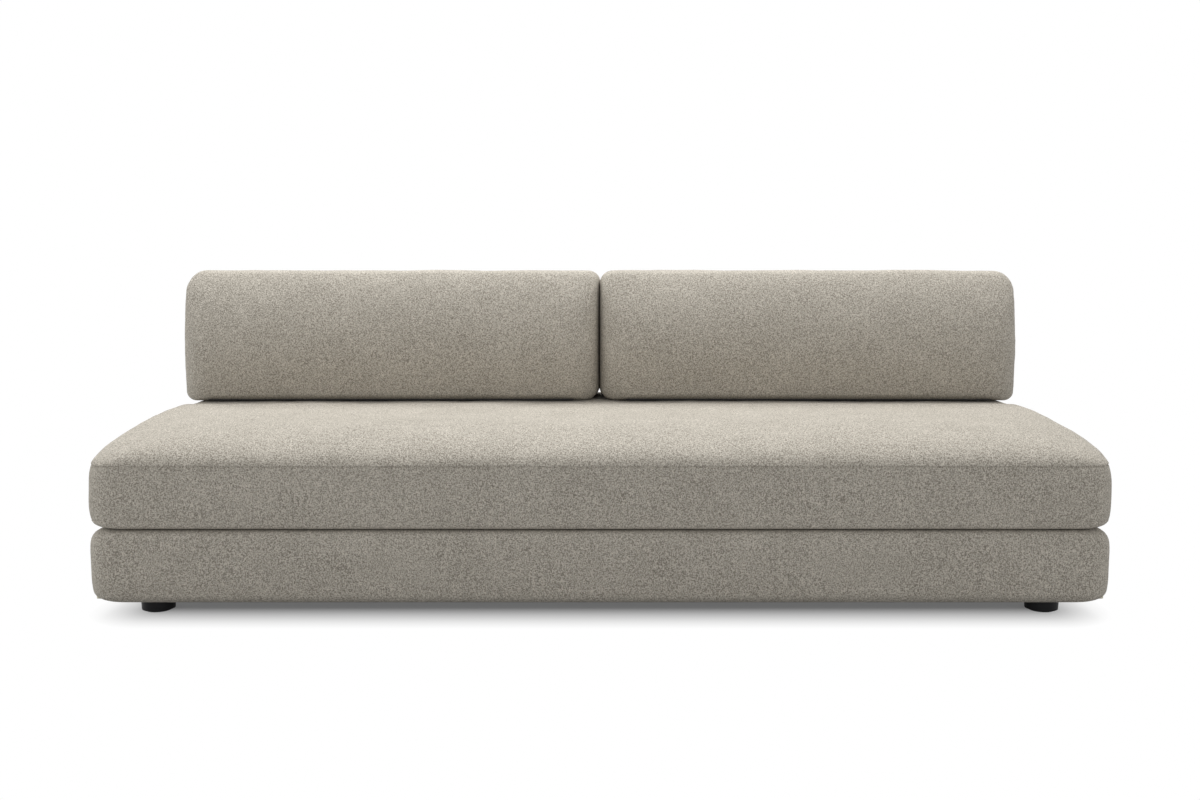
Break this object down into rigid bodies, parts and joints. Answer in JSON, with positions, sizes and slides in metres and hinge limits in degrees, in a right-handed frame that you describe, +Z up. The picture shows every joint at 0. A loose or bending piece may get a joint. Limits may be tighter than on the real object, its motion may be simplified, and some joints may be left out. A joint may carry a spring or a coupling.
{
  "type": "armless sofa",
  "caption": "Armless upholstered sofa with a padded platform on low round feet, a long crowned bench cushion and loose crowned back cushions.",
  "frame": {"origin": "on the floor, under the middle of the sofa plan", "axes": "+X along the length to the right seen from the front, +Z up, the front faces -Y"},
  "size_m": [2.31, 1.0038, 0.789],
  "materials": {
    "upholstery": "soft nubby weave, heathered greige",
    "foam": "open-cell foam",
    "fibre": "loose fibre wrap",
    "webbing": "elastic webbing",
    "lining": "thin non-woven cloth",
    "timber": "planed pine",
    "plywood": "sanded plywood",
    "zinc_steel": "zinc plated",
    "ballast_steel": "black painted plate",
    "foot_plastic": "satin black moulding",
    "glide": "hard felt-faced pad",
    "grip_mat": "open anti-slip mat",
    "zip_tape": "woven tape with a nylon coil",
    "zip_slider": "lacquered die casting"
  },
  "bodies": {
    "base": {"base_cover": "upholstery", "base_foam_front": "foam", "base_foam_left": "foam", "base_foam_rear": "foam", "base_foam_right": "foam", "centre_cross_rail": "timber", "centre_foot_plate": "plywood", "corner_blocks": "timber", "corner_plates": "plywood", "deck_cloth": "lining", "deck_pad": "foam", "dust_cover": "lining", "foot_centre": "foot_plastic", "foot_front_left": "foot_plastic", "foot_front_right": "foot_plastic", "foot_glide_centre": "glide", "foot_glide_front_left": "glide", "foot_glide_front_right": "glide", "foot_glide_rear_left": "glide", "foot_glide_rear_right": "glide", "foot_rear_left": "foot_plastic", "foot_rear_right": "foot_plastic", "foot_studs": "zinc_steel", "front_rail": "timber", "left_cross_rail": "timber", "left_rail": "timber", "rear_rail": "timber", "right_cross_rail": "timber", "right_rail": "timber", "tee_nuts": "zinc_steel", "webbing_front_to_rear": "webbing", "webbing_lengthwise": "webbing"},
    "seat_cushion": {"seat_bottom_panel": "upholstery", "seat_boxing": "upholstery", "seat_foam": "foam", "seat_top_panel": "upholstery", "seat_topper": "fibre", "seat_zip_tape": "zip_tape"},
    "back_left": {"back_left_band": "upholstery", "back_left_foam": "foam", "back_left_foot_board": "plywood", "back_left_front_panel": "upholstery", "back_left_grip_mat": "grip_mat", "back_left_rear_panel": "upholstery", "back_left_upright_board": "plywood", "back_left_weight": "ballast_steel", "back_left_zip_tape": "zip_tape"},
    "back_right": {"back_right_band": "upholstery", "back_right_foam": "foam", "back_right_foot_board": "plywood", "back_right_front_panel": "upholstery", "back_right_grip_mat": "grip_mat", "back_right_rear_panel": "upholstery", "back_right_upright_board": "plywood", "back_right_weight": "ballast_steel", "back_right_zip_tape": "zip_tape"},
    "seat_zip_slider": {"seat_zip_slider": "zip_slider"},
    "back_left_zip_slider": {"back_left_zip_slider": "zip_slider"},
    "back_right_zip_slider": {"back_right_zip_slider": "zip_slider"}
  },
  "joints": [
    {"name": "seat_cushion_lift", "type": "slide", "parent": "base", "child": "seat_cushion", "axis": [0, 0, 1], "range_m": [0, 0.15]},
    {"name": "back_left_lift", "type": "slide", "parent": "seat_cushion", "child": "back_left", "axis": [0, 0, 1], "range_m": [0, 0.2]},
    {"name": "back_right_lift", "type": "slide", "parent": "seat_cushion", "child": "back_right", "axis": [0, 0, 1], "range_m": [0, 0.2]},
    {"name": "seat_zip_travel", "type": "slide", "parent": "seat_cushion", "child": "seat_zip_slider", "axis": [-1, 0, 0], "range_m": [0, 1.99]},
    {"name": "back_left_zip_travel", "type": "slide", "parent": "back_left", "child": "back_left_zip_slider", "axis": [-1, 0, 0], "range_m": [0, 0.83]},
    {"name": "back_right_zip_travel", "type": "slide", "parent": "back_right", "child": "back_right_zip_slider", "axis": [-1, 0, 0], "range_m": [0, 0.83]}
  ]
}
